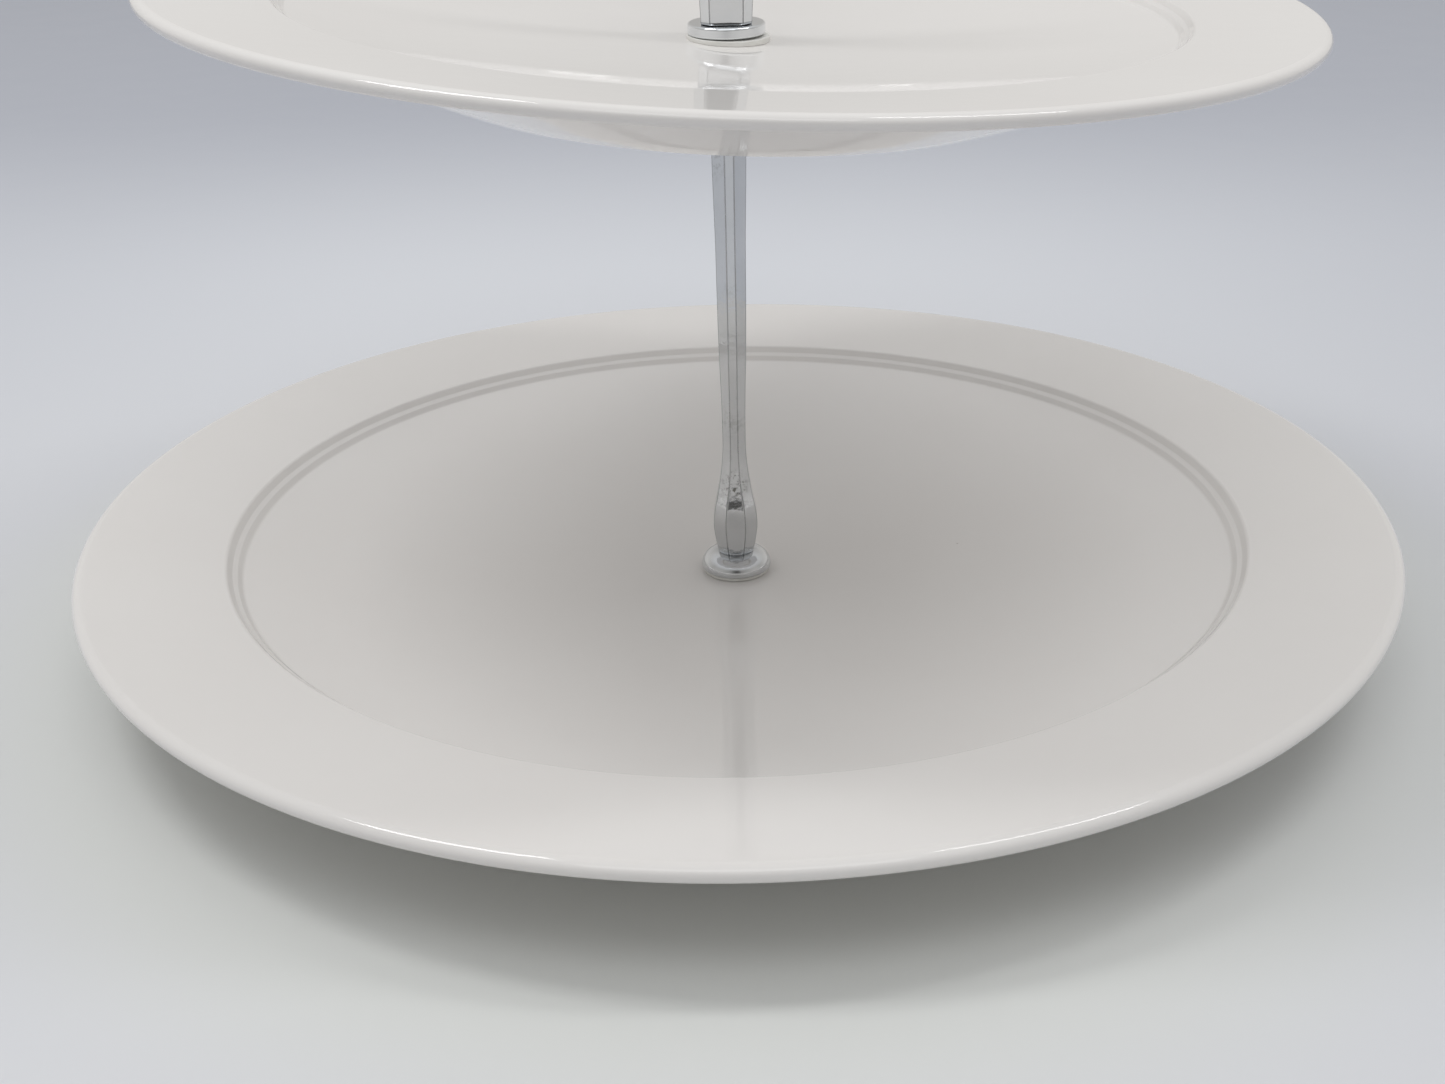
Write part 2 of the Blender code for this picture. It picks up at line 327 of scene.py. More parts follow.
def threaded(name, sections, segments=48):
    """A turned form whose rows with a depth of thread follow a screw's helix, with flat crests and
    roots. Sections are (radius, height, depth of thread)."""
    rows = []
    flat = 0.1
    slope = 1 / (1 - 2 * flat)
    for radius, height, depth in sections:
        if radius == 0:
            rows.append([(0, 0, height)])
            continue
        row = []
        for step in range(segments):
            turn = 2 * math.pi * step / segments
            along = (height / THREAD_PITCH - turn / (2 * math.pi)) % 1
            groove = depth * min(1, max(0, slope * (abs(2 * along - 1) - flat)))
            reach = radius - groove
            row.append((reach * math.cos(turn), reach * math.sin(turn), height))
        rows.append(row)
    return skin(name, rows)


def combined(piece, other, operation):
    """The piece with the other form cut from it or joined to it, and the other form removed."""
    modifier = piece.modifiers.new("join", "BOOLEAN")
    modifier.operation = operation
    modifier.solver = "EXACT"
    modifier.object = other
    graph = bpy.context.evaluated_depsgraph_get()
    mesh = bpy.data.meshes.new_from_object(piece.evaluated_get(graph))
    piece.modifiers.clear()
    piece.data = mesh
    mesh.name = piece.name
    bpy.data.objects.remove(other)
    return piece


def shade(piece, degrees=35):
    piece.data.shade_smooth()
    piece.data.set_sharp_from_angle(angle=math.radians(degrees))
    modifier = piece.modifiers.new("even_shading", "WEIGHTED_NORMAL")
    modifier.keep_sharp = True
    modifier.weight = 60


def tipped(piece):
    """Tips a piece that was made level round the origin, and sets it on the upper plate's rocking axis."""
    tip = Matrix.Rotation(UPPER_TIP, 4, "Y")
    piece.data.transform(Matrix.Translation(UPPER_PIVOT) @ tip)
    return piece


def settle(piece, node, slot, *materials, degrees=35):
    """Gives a piece its finish, and has it stand for a CAD node and ride on that node's body."""
    for material in materials:
        piece.data.materials.append(material)
    shade(piece, degrees)
    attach(piece, BODY_OF[node])
    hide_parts(node)
    return piece


# --------------------------------------------------------------- materials


def node(tree, kind, sockets=None, **settings):
    """Adds a shader node. Sockets maps an input to a value, or to the output that feeds it."""
    made = tree.nodes.new(kind)
    for name, value in settings.items():
        setattr(made, name, value)
    for socket, value in (sockets or {}).items():
        if isinstance(value, bpy.types.NodeSocket):
            tree.links.new(value, made.inputs[socket])
        else:
            made.inputs[socket].default_value = value
    return made


def surface(name, **constants):
    """A new material with its tree, its shader and the point being shaded in metres."""
    made = bpy.data.materials.new(name)
    made.use_nodes = True
    tree = made.node_tree
    shader = tree.nodes["Principled BSDF"]
    for socket, value in constants.items():
        shader.inputs[socket.replace("_", " ").title().replace("Ior", "IOR")].default_value = value
    place = node(tree, "ShaderNodeTexCoord").outputs["Object"]
    return made, tree, shader, place


def noise_at(tree, place, scale, detail=2.0, roughness=0.5):
    sockets = {"Vector": place, "Scale": scale, "Detail": detail, "Roughness": roughness}
    return node(tree, "ShaderNodeTexNoise", sockets).outputs["Fac"]


def ramp(tree, factor, *stops):
    """A colour ramp from (position, colour) stops."""
    made = node(tree, "ShaderNodeValToRGB", {"Fac": factor})
    elements = made.color_ramp.elements
    while len(elements) < len(stops):
        elements.new(0.5)
    for element, (position, colour) in zip(elements, stops):
        element.position = position
        element.color = (*colour, 1)
    return made.outputs["Color"]


def spread(tree, value, low, high, from_low=0.0, from_high=1.0, smooth=False):
    """Maps a value from one range to another, and keeps it inside."""
    sockets = {"Value": value, "From Min": from_low, "From Max": from_high, "To Min": low, "To Max": high}
    kind = "SMOOTHSTEP" if smooth else "LINEAR"
    return node(tree, "ShaderNodeMapRange", sockets, interpolation_type=kind).outputs["Result"]


def maths(tree, operation, first, second=0.0):
    made = node(tree, "ShaderNodeMath", {0: first, 1: second}, operation=operation)
    return made.outputs["Value"]


def blended(tree, share, first, second, blend="MIX"):
    """Mixes two colours, each a colour or the output of another node."""
    made = node(tree, "ShaderNodeMix", {"Factor": share}, data_type="RGBA", blend_type=blend)
    for socket, colour in ((made.inputs[6], first), (made.inputs[7], second)):
        if isinstance(colour, bpy.types.NodeSocket):
            tree.links.new(colour, socket)
        else:
            socket.default_value = (*colour, 1)
    return made.outputs[2]


def bumped(tree, shader, height, distance, strength=1.0):
    sockets = {"Height": height, "Distance": distance, "Strength": strength}
    tree.links.new(node(tree, "ShaderNodeBump", sockets).outputs["Normal"], shader.inputs["Normal"])


def porcelain():
    """Warm white body under a clear glaze, with a few pin specks and a faint orange peel."""
    made, tree, shader, place = surface("glazed_porcelain", ior=1.5)
    tone = noise_at(tree, place, 14, 4)
    body = ramp(tree, tone, (0.32, (0.800, 0.779, 0.760)), (0.68, (0.818, 0.800, 0.782)))
    cells = node(tree, "ShaderNodeTexVoronoi", {"Vector": place, "Scale": 70.0})
    near = spread(tree, cells.outputs["Distance"], 1, 0, 0.018, 0.034)
    chance = node(tree, "ShaderNodeSeparateColor", {"Color": cells.outputs["Color"]}).outputs["Red"]
    speck = maths(tree, "MULTIPLY", near, maths(tree, "LESS_THAN", chance, 0.012))
    colour = blended(tree, maths(tree, "MULTIPLY", speck, 0.75), body, (0.20, 0.17, 0.13))
    tree.links.new(colour, shader.inputs["Base Color"])
    tree.links.new(spread(tree, noise_at(tree, place, 30, 3), 0.025, 0.06), shader.inputs["Roughness"])
    bumped(tree, shader, noise_at(tree, place, 160, 2), 0.00002, 0.6)
    return made


def biscuit():
    """Bare, ground porcelain on the foot ring."""
    made, tree, shader, place = surface("bare_porcelain", ior=1.45)
    tone = noise_at(tree, place, 500, 5)
    colour = ramp(tree, tone, (0.3, (0.60, 0.56, 0.49)), (0.7, (0.72, 0.69, 0.63)))
    tree.links.new(colour, shader.inputs["Base Color"])
    tree.links.new(spread(tree, noise_at(tree, place, 900, 3), 0.6, 0.85), shader.inputs["Roughness"])
    bumped(tree, shader, noise_at(tree, place, 2500, 3), 0.00003, 0.8)
    return made


def chrome(name, dull, bright, haze, ripple, worn_at=None):
    """Chrome plate, a little hazy in places, with a soft ripple and small worn spots. The spots are
    few and faint, and strong round the place worn_at."""
    made, tree, shader, place = surface(name, metallic=1.0)
    colour = ramp(tree, noise_at(tree, place, 90, 3), (0.3, dull), (0.7, bright))
    patches = spread(tree, noise_at(tree, place, 70, 1), 0, 0.3, 0.56, 0.66)
    if worn_at:
        sockets = {0: place, 1: worn_at}
        away = node(tree, "ShaderNodeVectorMath", sockets, operation="DISTANCE").outputs["Value"]
        patches = maths(tree, "MAXIMUM", patches, spread(tree, away, 1, 0, WORN_CORE, WORN_REACH))
    pits = spread(tree, noise_at(tree, place, 900, 4, 0.65), 0, 1, 0.50, 0.58)
    wear = maths(tree, "MULTIPLY", patches, pits)
    worn = blended(tree, maths(tree, "MULTIPLY", wear, 0.75), colour, (0.16, 0.155, 0.125))
    tree.links.new(worn, shader.inputs["Base Color"])
    clouded = spread(tree, noise_at(tree, place, 240, 4), *haze, 0.35, 0.7)
    haze_with_wear = maths(tree, "ADD", clouded, maths(tree, "MULTIPLY", wear, 0.3))
    tree.links.new(haze_with_wear, shader.inputs["Roughness"])
    bumped(tree, shader, noise_at(tree, place, 420, 2), ripple, 0.5)
    return made


def steel():
    """Zinc-plated steel: grey, satin, with turning marks and a slight blue and yellow cast."""
    made, tree, shader, place = surface("zinc_plated_steel", metallic=1.0)
    cast = noise_at(tree, place, 260, 4)
    stops = (0.25, (0.50, 0.52, 0.55)), (0.5, (0.62, 0.62, 0.60)), (0.8, (0.66, 0.63, 0.55))
    colour = ramp(tree, cast, *stops)
    tree.links.new(colour, shader.inputs["Base Color"])
    tree.links.new(spread(tree, noise_at(tree, place, 900, 3), 0.24, 0.42), shader.inputs["Roughness"])
    sockets = {"Vector": place, "Scale": 900.0, "Distortion": 1.5, "Detail": 2.0}
    rings = node(tree, "ShaderNodeTexWave", sockets, wave_type="RINGS", rings_direction="Z")
    bumped(tree, shader, rings.outputs["Fac"], 0.00001, 0.5)
    return made


def soft_plastic():
    """White PVC of the washers: soft sheen, slightly yellowed, finely grained."""
    made, tree, shader, place = surface("soft_white_plastic", ior=1.46)
    tone = noise_at(tree, place, 180, 3)
    colour = ramp(tree, tone, (0.3, (0.80, 0.79, 0.75)), (0.7, (0.87, 0.865, 0.83)))
    tree.links.new(colour, shader.inputs["Base Color"])
    tree.links.new(spread(tree, noise_at(tree, place, 700, 2), 0.38, 0.55), shader.inputs["Roughness"])
    bumped(tree, shader, noise_at(tree, place, 3000, 2), 0.00001, 0.7)
    return made


def floor_tone_and_painted_light():
    """Pale blue-grey studio floor with some dust. Painted shade makes it darker far behind the object and
    at its sides, painted cool light bluer behind it, and painted bounce light warmer and lighter round the
    plate, where the plate's shadow falls. Seen from below it lets light through, and it has a clear window
    inside the plate's foot ring, so that the object's underside can be looked at."""
    made, tree, shader, place = surface("studio_floor", specular_ior_level=0.25)
    tone = ramp(tree, noise_at(tree, place, 3, 3), (0.3, (0.69, 0.70, 0.73)), (0.7, (0.71, 0.72, 0.745)))
    axes = node(tree, "ShaderNodeSeparateXYZ", {"Vector": place}).outputs
    # Painted cool light: the floor bluer further behind the object.
    cooler = blended(tree, spread(tree, axes["Y"], 0, 1, 0.0, 0.35, True), tone, (0.69, 0.71, 0.755))
    reach = node(tree, "ShaderNodeVectorMath", {0: place}, operation="LENGTH").outputs["Value"]
    # Painted bounce light: the floor warmer and lighter round the plate, where the plate's shadow falls.
    painted_bounce = blended(tree, spread(tree, reach, 1, 0, 0.165, 0.215, True), cooler, NEAR_PAINTED_BOUNCE)
    # Painted shade: the floor darker far behind the object and at its sides.
    far_behind = spread(tree, axes["Y"], 0, 1, 0.27, 0.62, True)
    far_right = spread(tree, axes["X"], 0, 0.58, 0.03, 0.38, True)
    far_left = spread(tree, axes["X"], 0.38, 0, -0.34, -0.10, True)
    away = painted_bounce
    for share in (far_behind, far_right, far_left):
        away = blended(tree, share, away, FAR_PAINTED_SHADE)
    dust = node(tree, "ShaderNodeTexVoronoi", {"Vector": place, "Scale": 26.0})
    near = spread(tree, dust.outputs["Distance"], 1, 0, 0.010, 0.022)
    chance = node(tree, "ShaderNodeSeparateColor", {"Color": dust.outputs["Color"]}).outputs["Green"]
    speck = maths(tree, "MULTIPLY", near, maths(tree, "LESS_THAN", chance, 0.03))
    colour = blended(tree, maths(tree, "MULTIPLY", speck, 0.6), away, (0.22, 0.22, 0.20))
    tree.links.new(colour, shader.inputs["Base Color"])
    tree.links.new(spread(tree, noise_at(tree, place, 40, 3), 0.45, 0.6), shader.inputs["Roughness"])
    bumped(tree, shader, noise_at(tree, place, 700, 2), 0.00004, 0.3)
    behind = node(tree, "ShaderNodeNewGeometry").outputs["Backfacing"]
    clear = node(tree, "ShaderNodeBsdfTransparent").outputs["BSDF"]
    window = spread(tree, reach, 1, 0, 0.90 * FLOOR_WINDOW, FLOOR_WINDOW)
    see_through = maths(tree, "MAXIMUM", behind, window)
    sockets = {0: see_through, 1: shader.outputs["BSDF"], 2: clear}
    mixed = node(tree, "ShaderNodeMixShader", sockets).outputs["Shader"]
    tree.links.new(mixed, tree.nodes["Material Output"].inputs["Surface"])
    return made


# ------------------------------------------------------------------ plates


def plate_outline(radius, height, floor):
    """Section of a plate: hole, dished floor, wall, rim, rolled edge, underside, foot ring, recess."""
    scale = radius / LOWER_RADIUS
    roll = EDGE_ROLL * scale
    well = WELL_SHARE * radius
    well_z = height - WELL_DROP * scale
    recess = floor - FLOOR_THICKNESS
    top = [(HOLE_RADIUS, recess, 0), (HOLE_RADIUS, floor, 0.0004)]
    for step in range(FLOOR_STEPS + 1):
        share = FLOOR_FROM + (FLOOR_TO - FLOOR_FROM) * step / FLOOR_STEPS
        top.append((well * share, floor + (well_z - floor) * share**FLOOR_CURVE, 0))
    wall_top = (WALL_TOP_SHARE * radius, height - WALL_TOP_DROP * scale)
    for across, up, turn in WALL:
        wall_x = well + (wall_top[0] - well) * across
        wall_z = well_z + (wall_top[1] - well_z) * up
        top.append((wall_x, wall_z, turn * scale))
    top.append((radius - 2.1 * roll, height - 0.06 * roll, 3 * roll))
    outline = rounded(top + [(radius - EDGE_SPREAD * roll, height, 0)], turn_step=math.radians(4))
    for degrees in range(86, -91, -4):
        turn = math.radians(degrees)
        reach = roll * (EDGE_SPREAD if degrees > 0 else 1)
        outline.append((radius - reach + reach * math.cos(turn), height - roll + roll * math.sin(turn)))
    below = [(across * radius, up * height) for across, up in UNDERSIDE]
    outline += curve_through(below, 7)
    foot = FOOT_SHARE * radius
    under = [
        (*below[-1], 0),
        (foot + 0.0004, 0.0004, 0.0006),
        (foot - 0.0002, 0, 0.0004),
        (foot - FOOT_WIDTH, 0, 0.0007),
        (foot - FOOT_WIDTH - 0.0015, 0.8 * recess, 0.0016),
        (foot - FOOT_WIDTH - 0.006, recess, 0.004),
        (HOLE_RADIUS, recess, 0),
    ]
    outline += rounded(under)[1:-1]
    return outline


def waved(piece, radius):
    """A faint wave in a plate's surfaces, and none at its edge, hole and foot. Its height in the noise,
    3.7 and the radius, gives each plate a wave of its own."""
    for vertex in piece.data.vertices:
        across = math.hypot(vertex.co.x, vertex.co.y)
        inside = fade(across, 0.93 * radius, 0.73 * radius)
        clear_of_hub = fade(across, 0.012, 0.032)
        clear_of_foot = fade(vertex.co.z, 0.001, 0.003)
        at = Vector((vertex.co.x * WAVE_SCALE, vertex.co.y * WAVE_SCALE, 3.7 + radius))
        vertex.co.z += WAVE_HEIGHT * inside * clear_of_hub * clear_of_foot * noise.noise(at)


def plate(name, radius, height, floor):
    made = lathe(name, plate_outline(radius, height, floor), PLATE_SEGMENTS)
    waved(made, radius)
    return made


def bare_foot(piece, radius):
    """Gives the foot ring's ground face the second material."""
    foot = FOOT_SHARE * radius
    for face in piece.data.polygons:
        across = math.hypot(face.center.x, face.center.y)
        on_ring = foot - FOOT_WIDTH - 0.0006 < across < foot + 0.0004
        if on_ring and face.center.z < 0.0004:
            face.material_index = 1


def lower_plate(glaze, bare):
    made = plate("lower_plate_porcelain", LOWER_RADIUS, LOWER_HEIGHT, LOWER_FLOOR)
    bare_foot(made, LOWER_RADIUS)
    settle(made, "lower_plate", "porcelain", glaze, bare, degrees=50)


def upper_plate(glaze, bare):
    made = plate("upper_plate_porcelain", UPPER_RADIUS, UPPER_HEIGHT, UPPER_FLOOR)
    bare_foot(made, UPPER_RADIUS)
    made.data.transform(Matrix.Translation((UPPER_SHIFT, 0, -UPPER_FLOOR)))
    settle(tipped(made), "upper_plate", "porcelain", glaze, bare, degrees=50)


# ------------------------------------------------------------ faceted work


def facet_points(width, share):
    """Points round a square with cut corners: flat faces that meet in a fine notch at each of the eight
    edges, as on a casting that was polished facet by facet."""
    flat = width / 2
    half = flat * share
    quarter = [Vector((half, -flat)), Vector((flat, -half))]
    corners = []
    for turn in range(4):
        spin = Matrix.Rotation(turn * math.pi / 2, 2)
        corners += [spin @ corner for corner in quarter]
    notched = []
    for index, corner in enumerate(corners):
        before = (corners[index - 1] - corner).normalized()
        after = (corners[(index + 1) % FACETS] - corner).normalized()
        bottom = corner + (before + after).normalized() * NOTCH_DEPTH
        notched.append((*(corner + before * NOTCH_REACH), NOTCH_EDGE))
        notched.append((*bottom, NOTCH_EDGE))
        notched.append((*(corner + after * NOTCH_REACH), NOTCH_EDGE))
    arcs = [Vector(point) for point in rounded(notched, closed=True, turn_step=math.pi / 2)]
    outline = []
    for edge in range(FACETS):
        outline += arcs[edge * NOTCH_POINTS : (edge + 1) * NOTCH_POINTS]
        start = outline[-1]
        stop = arcs[(edge + 1) * NOTCH_POINTS % len(arcs)]
        for part in range(1, FACET_STEPS):
            outline.append(start.lerp(stop, part / FACET_STEPS))
    return outline


def faceted_row(width, share, height, roundness=0.0, radius=0.0):
    """One row of a shaft. Roundness moves it from the faceted section to a circle of the radius."""
    row = []
    for point in facet_points(width, share):
        circle = point.normalized() * radius
        row.append((*point.lerp(circle, roundness), height))
    return row


def paint_notch_shade(piece, first_row, last_row):
    """Gives the second material to the notches of a shaft, between two of the rows of its mesh: darker
    plating that is painted shade in the notches.
    """
    side = NOTCH_POINTS + FACET_STEPS - 1
    around = FACETS * side
    for face in piece.data.polygons[first_row * around : last_row * around]:
        if 2 <= face.index % side < NOTCH_POINTS - 3:
            face.material_index = 1


def bore_rows(foot, depth, count, upwards):
    """Rows of a blind hole from its end to its mouth, each with as many points as the shaft's rows."""
    way = 1 if upwards else -1
    end = foot + way * depth
    neck = foot + way * BORE_CHAMFER
    circles = ((BORE_RADIUS, end), (BORE_RADIUS, neck), (BORE_RADIUS + BORE_CHAMFER, foot))
    return [[(0, 0, end)]] + [ring_at(radius, height, count) for radius, height in circles]


def aligned(row, template):
    """The row's circle at the same directions as the template's points, so that the faces don't twist."""
    radius = math.hypot(row[0][0], row[0][1])
    found = []
    for x, y, _ in template:
        scale = radius / math.hypot(x, y)
        found.append((x * scale, y * scale, row[0][2]))
    return found


def rows_with_bores(rows, low_depth, high_depth):
    """Closes a shaft at both ends over a blind hole in each."""
    count = len(rows[0])
    low = bore_rows(rows[0][0][2], low_depth, count, True)
    high = bore_rows(rows[-1][0][2], high_depth, count, False)
    found = low[:1] + [aligned(row, rows[0]) for row in low[1:]] + rows
    return found + [aligned(row, rows[-1]) for row in high[:0:-1]] + high[:1]


def lower_rod(plating, notch_shade):
    """The cast rod: domed flange, bulb, waist and the shaft that widens to the top. Its last rows of
    dome and its first rows of shaft are between round and faceted."""
    low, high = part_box("lower_rod")
    radius = high.x
    width, share = section_at(ROD_SECTIONS, ROD_SECTIONS[0][0])
    rows = []
    flange = [(radius - FLANGE_SEAT, 0, 0), (radius, 0, 0.0004), (radius, FLANGE_EDGE, 0)]
    for across, up in rounded(flange, turn_step=math.radians(30)):
        rows.append(faceted_row(width, share, low.z + up, 1, across))
    for step in range(1, DOME_STEPS + 1):
        turn = step / DOME_STEPS * math.pi / 2
        across = NECK_RADIUS + (radius - NECK_RADIUS) * math.cos(turn)
        up = FLANGE_EDGE + FLANGE_DOME * math.sin(turn)
        roundness = 1 - max(0, step - DOME_STEPS + BLEND_ROWS) / 8
        rows.append(faceted_row(width, share, low.z + up, roundness, across))
    shaft = high.z - low.z
    count = 150
    foot = FLANGE_EDGE + FLANGE_DOME + 0.0002
    for step in range(count):
        up = foot + (shaft - 0.0002 - foot) * step / (count - 1)
        roundness = max(0, 0.2 * (BLEND_ROWS - step))
        width, share = section_at(ROD_SECTIONS, up)
        rows.append(faceted_row(width, share, low.z + up, roundness, width / 2))
    width, share = section_at(ROD_SECTIONS, shaft)
    rows.append(faceted_row(width - 0.0003, share, high.z))
    made = skin("lower_rod_chrome", rows_with_bores(rows, *ROD_BORES))
    top = BORE_ROWS + len(rows) - 1
    paint_notch_shade(made, top - count - BLEND_ROWS, top)
    settle(made, "lower_rod", "chrome", plating, notch_shade, degrees=60)


def handle_stem(plating, notch_shade):
    """The handle's stem: square with cut corners at its foot, and a waist under the collar."""
    low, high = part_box("handle_stem")
    rows = []
    length = high.z - low.z
    width, share = section_at(STEM_SECTIONS, 0)
    rows.append(faceted_row(width - 0.0002, share, low.z))
    count = 110
    for step in range(count):
        up = 0.0001 + (length - 0.0003) * step / (count - 1)
        rows.append(faceted_row(*section_at(STEM_SECTIONS, up), low.z + up))
    width, share = section_at(STEM_SECTIONS, length)
    rows.append(faceted_row(width - 0.0004, share, high.z))
    made = skin("handle_stem_chrome", rows_with_bores(rows, *STEM_BORES))
    paint_notch_shade(made, BORE_ROWS + 1, BORE_ROWS + len(rows) - 1)
    settle(made, "handle_stem", "chrome", plating, notch_shade, degrees=60)


# ------------------------------------------------------------- turned work


def washer(node_name, name, slot, material, edge):
    low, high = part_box(node_name)
    corners = [
        (WASHER_BORE, low.z, edge),
        (high.x, low.z, edge),
        (high.x, high.z, edge),
        (WASHER_BORE, high.z, edge),
    ]
    made = lathe(name, rounded(corners, closed=True))
    settle(made, node_name, slot, material)


def upper_soft_washer(material):
    """Squeezed to a wedge between the level disc and the tipped plate: thin at the left, thick at the
    right."""
    radius = 0.0094
    thin = 0.00082
    thick = 0.00132
    lift = 0.00004
    edge = 0.00012
    corners = [
        (WASHER_BORE, 0, edge),
        (radius, 0, edge),
        (radius, thin, edge),
        (WASHER_BORE, thin, edge),
    ]
    made = lathe("upper_soft_washer_plastic", rounded(corners, closed=True))
    for vertex in made.data.vertices:
        share = (vertex.co.x / radius + 1) / 2
        vertex.co.z = lift + vertex.co.z * (thin + (thick - thin) * share) / thin
        vertex.co.x += WASHER_SLACK
    settle(tipped(made), "upper_soft_washer", "soft_washer", material)


def handle_disc(plating):
    """The disc that clamps the upper plate, with a rounder edge on top."""
    low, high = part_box("handle_disc")
    corners = [
        (WASHER_BORE, low.z, 0.0002),
        (high.x, low.z, 0.0004),
        (high.x, high.z, 0.0006),
        (WASHER_BORE, high.z, 0.0002),
    ]
    made = lathe("handle_disc_chrome", rounded(corners, closed=True), 128)
    settle(made, "handle_disc", "chrome", plating)


def handle_collar(plating):
    """A turned collar: a round bead between two narrow fillets."""
    low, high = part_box("handle_collar")
    bore = RING_SPIGOT_RADIUS + 0.0001
    tall = high.z - low.z
    corners = [
        (bore, low.z, 0.0001),
        (0.84 * high.x, low.z, 0.0002),
        (0.84 * high.x, low.z + 0.12 * tall, 0.0001),
        (high.x, low.z + 0.16 * tall, 0.0009),
        (high.x, low.z + 0.80 * tall, 0.0009),
        (0.80 * high.x, low.z + 0.84 * tall, 0.0001),
        (0.80 * high.x, high.z, 0.0002),
        (bore, high.z, 0.0001),
    ]
    made = lathe("handle_collar_chrome", rounded(corners, closed=True), 128)
    settle(made, "handle_collar", "chrome", plating)


def handle_ring(plating):
    """A round bar bent to a ring, on a boss that runs down into the stem."""
    low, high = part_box("handle_ring")
    centre_z = high.z - RING_RADIUS - RING_BAR_RADIUS
    boss_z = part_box("handle_collar")[1].z + 0.00015
    rows = []
    for step in range(144):
        turn = 2 * math.pi * step / 144
        row = []
        for part in range(40):
            lean = 2 * math.pi * part / 40
            across = RING_RADIUS + RING_BAR_RADIUS * math.cos(lean)
            depth = RING_BAR_RADIUS * math.sin(lean)
            row.append((across * math.cos(turn), depth, centre_z + across * math.sin(turn)))
        rows.append(row)
    made = skin("handle_ring_chrome", rows, closed=True)
    corners = [
        (0, low.z, 0),
        (RING_SPIGOT_RADIUS, low.z, 0.0003),
        (RING_SPIGOT_RADIUS, boss_z, 0),
        (RING_BOSS_RADIUS, boss_z, 0.0003),
        (RING_BOSS_RADIUS - 0.0002, boss_z + 0.0009, 0.0006),
        (RING_BOSS_RADIUS - 0.0010, boss_z + 0.0018, 0.0008),
        (RING_BOSS_RADIUS - 0.0007, boss_z + 0.0034, 0.0004),
        (0, boss_z + 0.0044, 0),
    ]
    boss = lathe("boss", rounded(corners), 96)
    combined(made, boss, "UNION")
    settle(made, "handle_ring", "chrome", plating)


def rod_stud(metal):
    """A headless stud, threaded from end to end."""
    low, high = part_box("rod_stud")
    sections = [(0, low.z, 0), (THREAD_RADIUS - STUD_CHAMFER, low.z, 0)]
    sections += thread_between(low.z + STUD_CHAMFER, high.z - STUD_CHAMFER)
    sections += [(THREAD_RADIUS - STUD_CHAMFER, high.z, 0), (0, high.z, 0)]
    settle(threaded("rod_stud_steel", sections), "rod_stud", "steel", metal, degrees=40)


def base_screw(metal):
    """Slotted pan head screw, head down, with its thread in the rod."""
    low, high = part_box("base_screw")
    radius = high.x
    head_z = low.z + SCREW_HEAD
    corners = [
        (0, low.z, 0),
        (radius - 0.0012, low.z, 0.0015),
        (radius, low.z + 0.0012, 0.0008),
        (radius, head_z, 0.0003),
        (THREAD_RADIUS - THREAD_DEPTH, head_z, 0),
    ]
    sections = [(across, up, 0) for across, up in rounded(corners)]
    sections += thread_between(head_z + 0.0004, high.z - SCREW_POINT)
    sections += [(THREAD_RADIUS - SCREW_POINT, high.z, 0), (0, high.z, 0)]
    made = threaded("base_screw_steel", sections)
    slot = bpy.data.meshes.new("slot")
    cutter = bmesh.new()
    bmesh.ops.create_cube(cutter, size=1)
    bmesh.ops.scale(cutter, verts=cutter.verts, vec=(4 * radius, SLOT_WIDTH, 2 * SLOT_DEPTH))
    bmesh.ops.translate(cutter, verts=cutter.verts, vec=(0, 0, low.z))
    cutter.to_mesh(slot)
    cutter.free()
    cut = bpy.data.objects.new("slot", slot)
    bpy.context.scene.collection.objects.link(cut)
    combined(made, cut, "DIFFERENCE")
    settle(made, "base_screw", "steel", metal, degrees=30)


# ------------------------------------------------------------------- stage


def studio():
    """Pale floor, and soft lights overhead at the left, at the right and in front."""
    mesh = bpy.data.meshes.new("studio_floor")
    ways = ((-1, -1), (1, -1), (1, 1), (-1, 1))
    corners = [(FLOOR_REACH * x, FLOOR_REACH * y, 0) for x, y in ways]
    mesh.from_pydata(corners, [], [(0, 1, 2, 3)])
    mesh.materials.append(floor_tone_and_painted_light())
    floor = bpy.data.objects.new("studio_floor", mesh)
    bpy.context.scene.collection.objects.link(floor)

    area_light("left_softbox", (-0.58, 0.00, 1.22), (0.24, 0.46), 3.2)
    area_light("right_softbox", (0.60, 0.02, 1.22), (0.14, 0.50), 1.9)
    area_light("front_softbox", (0.00, -0.75, 1.30), (1.00, 0.50), 2.2)
    bpy.context.scene.world = studio_world()


def studio_world():
    """Even light from above, and a horizon that is paler behind the object and at its sides than in
    front."""
    world = bpy.data.worlds.new("studio_world")
    world.use_nodes = True
    tree = world.node_tree
    direction = node(tree, "ShaderNodeTexCoord").outputs["Generated"]
    axes = node(tree, "ShaderNodeSeparateXYZ", {"Vector": direction}).outputs
    across = maths(tree, "ABSOLUTE", axes["X"])
    side = maths(tree, "MULTIPLY", across, SIDE_GLOW)
    back = maths(tree, "MAXIMUM", maths(tree, "MULTIPLY", axes["Y"], BACK_GLOW), 0.0)
    ahead = maths(tree, "MAXIMUM", maths(tree, "MULTIPLY", axes["Y"], -1.0), 0.0)
    front = maths(tree, "MULTIPLY", ahead, spread(tree, across, FRONT_GLOW, FRONT_SIDES, 0.08, 0.30, True))
    downward = maths(tree, "MAXIMUM", maths(tree, "MULTIPLY", axes["Z"], -BELOW_GLOW), 0.0)
    horizon = side
    for part in (back, front, downward):
        horizon = maths(tree, "ADD", horizon, part)
    share = spread(tree, axes["Z"], 0, 1, 0.45, 0.80)
    glow = node(tree, "ShaderNodeMix", {0: share, 2: horizon, 3: TOP_GLOW}).outputs[0]
    colour = ramp(tree, share, (0.0, (1.0, 0.975, 0.94)), (1.0, (0.985, 1.0, 1.015)))
    background = tree.nodes["Background"]
    tree.links.new(colour, background.inputs["Color"])
    tree.links.new(glow, background.inputs["Strength"])
    return world


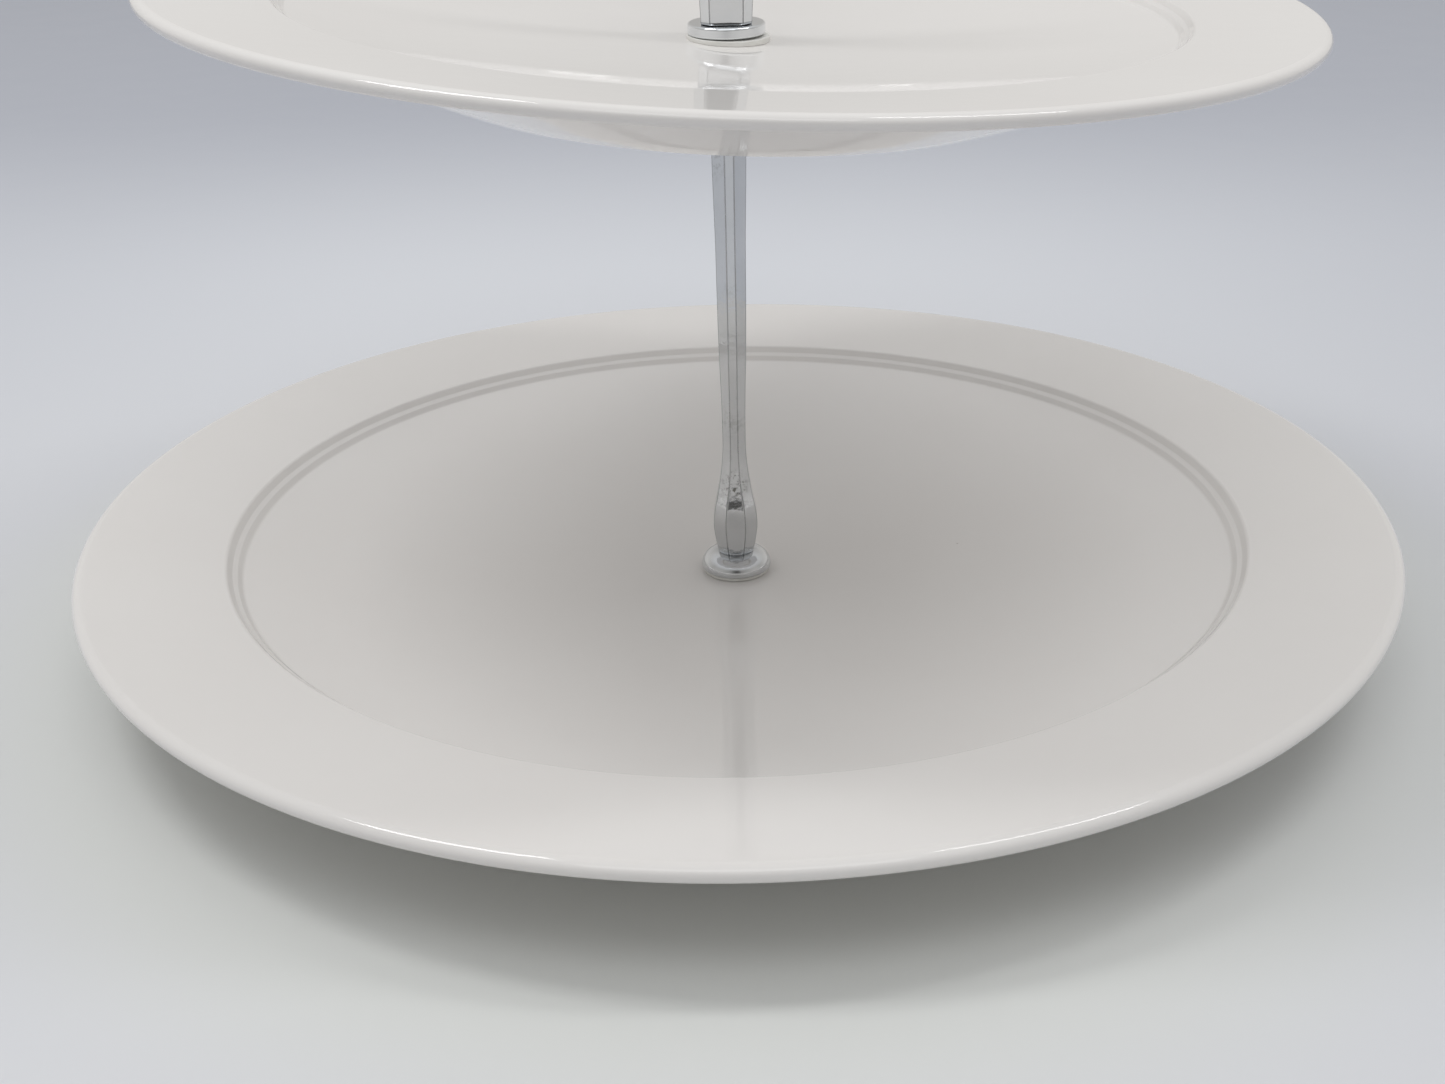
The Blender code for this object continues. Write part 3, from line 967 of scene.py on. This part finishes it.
def area_light(name, place, size, power):
    """A soft rectangular light that faces the object."""
    light = bpy.data.lights.new(name, "AREA")
    light.shape = "RECTANGLE"
    light.size, light.size_y = size
    light.energy = power
    made = bpy.data.objects.new(name, light)
    made.location = place
    aim = Vector(LIGHTS_AIM) - made.location
    made.rotation_euler = aim.to_track_quat("-Z", "Y").to_euler()
    made.visible_camera = False
    bpy.context.scene.collection.objects.link(made)


def camera():
    lens = bpy.data.cameras.new("camera")
    lens.lens = CAMERA_LENS
    lens.sensor_width = 36
    lens.clip_start = 0.01
    made = bpy.data.objects.new("camera", lens)
    ahead = Vector((0, math.cos(CAMERA_DOWN), -math.sin(CAMERA_DOWN)))
    level_up = Vector((0, math.sin(CAMERA_DOWN), math.cos(CAMERA_DOWN)))
    level_right = Vector((1, 0, 0))
    right = level_right * math.cos(CAMERA_ROLL) + level_up * math.sin(CAMERA_ROLL)
    up = level_up * math.cos(CAMERA_ROLL) - level_right * math.sin(CAMERA_ROLL)
    turn = Matrix((right, up, -ahead)).transposed().to_4x4()
    made.matrix_world = Matrix.Translation(CAMERA_PLACE) @ turn
    bpy.context.scene.collection.objects.link(made)
    bpy.context.scene.camera = made


def build():
    glaze = porcelain()
    bare = biscuit()
    plating = chrome("chrome_plate", (0.74, 0.76, 0.78), (0.80, 0.81, 0.82), (0.05, 0.11), 0.00003)
    cast_plating = chrome(
        "chrome_on_casting", (0.60, 0.615, 0.63), (0.67, 0.68, 0.69), (0.05, 0.13), 0.00010, WORN_PLACE
    )
    # Darker, rougher plating for the fine notches between facets: painted shade in them.
    notch_shade = chrome("chrome_with_painted_notch_shade", (0.38, 0.39, 0.40), (0.50, 0.50, 0.50), (0.22, 0.40), 0.00003)
    metal = steel()
    soft = soft_plastic()
    lower_plate(glaze, bare)
    upper_plate(glaze, bare)
    lower_rod(cast_plating, notch_shade)
    handle_stem(plating, notch_shade)
    handle_disc(plating)
    handle_collar(plating)
    handle_ring(plating)
    rod_stud(metal)
    base_screw(metal)
    washer("base_metal_washer", "base_metal_washer_steel", "steel", metal, 0.00015)
    washer("seat_metal_washer", "seat_metal_washer_steel", "steel", metal, 0.00015)
    washer("base_soft_washer", "base_soft_washer_plastic", "soft_washer", soft, 0.00022)
    washer("foot_soft_washer", "foot_soft_washer_plastic", "soft_washer", soft, 0.00022)
    washer("seat_soft_washer", "seat_soft_washer_plastic", "soft_washer", soft, 0.0003)
    upper_soft_washer(soft)


bpy.context.scene.view_settings.view_transform = "Standard"
camera()
studio()
build()
